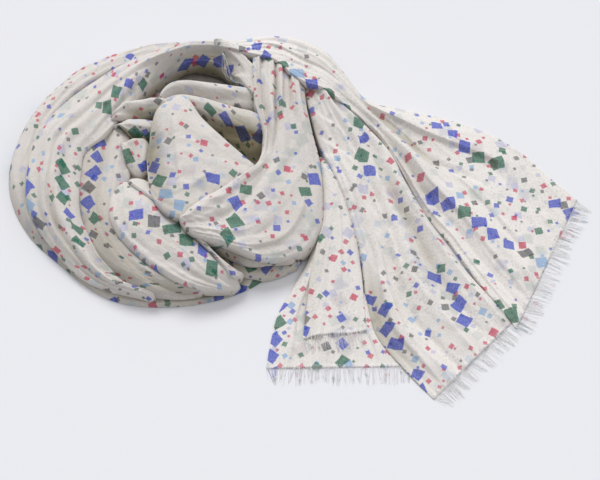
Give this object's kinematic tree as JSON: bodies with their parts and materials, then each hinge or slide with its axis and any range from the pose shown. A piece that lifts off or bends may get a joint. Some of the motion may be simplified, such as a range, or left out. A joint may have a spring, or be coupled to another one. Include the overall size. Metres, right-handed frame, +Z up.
{
  "type": "wool stole",
  "caption": "Fine printed wool stole wound into a loose coil on a flat surface, one fringed end fanned out beside it.",
  "frame": {"origin": "centre of the stole's footprint, on the surface it lies on", "axes": "+Z up; +X towards the fanned, fringed end; +Y to the back, away from the viewer"},
  "size_m": [0.7678, 0.553, 0.0727],
  "materials": {
    "cloth": "matt, slightly sheer plain weave",
    "under_cloth": "matt, in shadow",
    "fringe": "matt loose threads"
  },
  "bodies": {
    "root": {"heap_core": "under_cloth", "outer_turn": "cloth", "left_turn": "cloth", "inner_left": "cloth", "low_leaf": "cloth", "high_leaf": "cloth", "upper_band": "cloth", "lower_band": "cloth", "back_roll": "cloth", "middle_roll": "cloth", "front_roll": "cloth", "back_cowl": "cloth", "middle_cowl": "cloth", "front_cowl": "cloth", "front_swag": "cloth", "fan_back": "cloth", "fan_middle": "cloth", "fan_pleat": "cloth", "fan_under": "cloth", "fringe_back": "fringe", "fringe_middle": "fringe", "fringe_pleat": "fringe", "fringe_under": "fringe"}
  },
  "joints": []
}
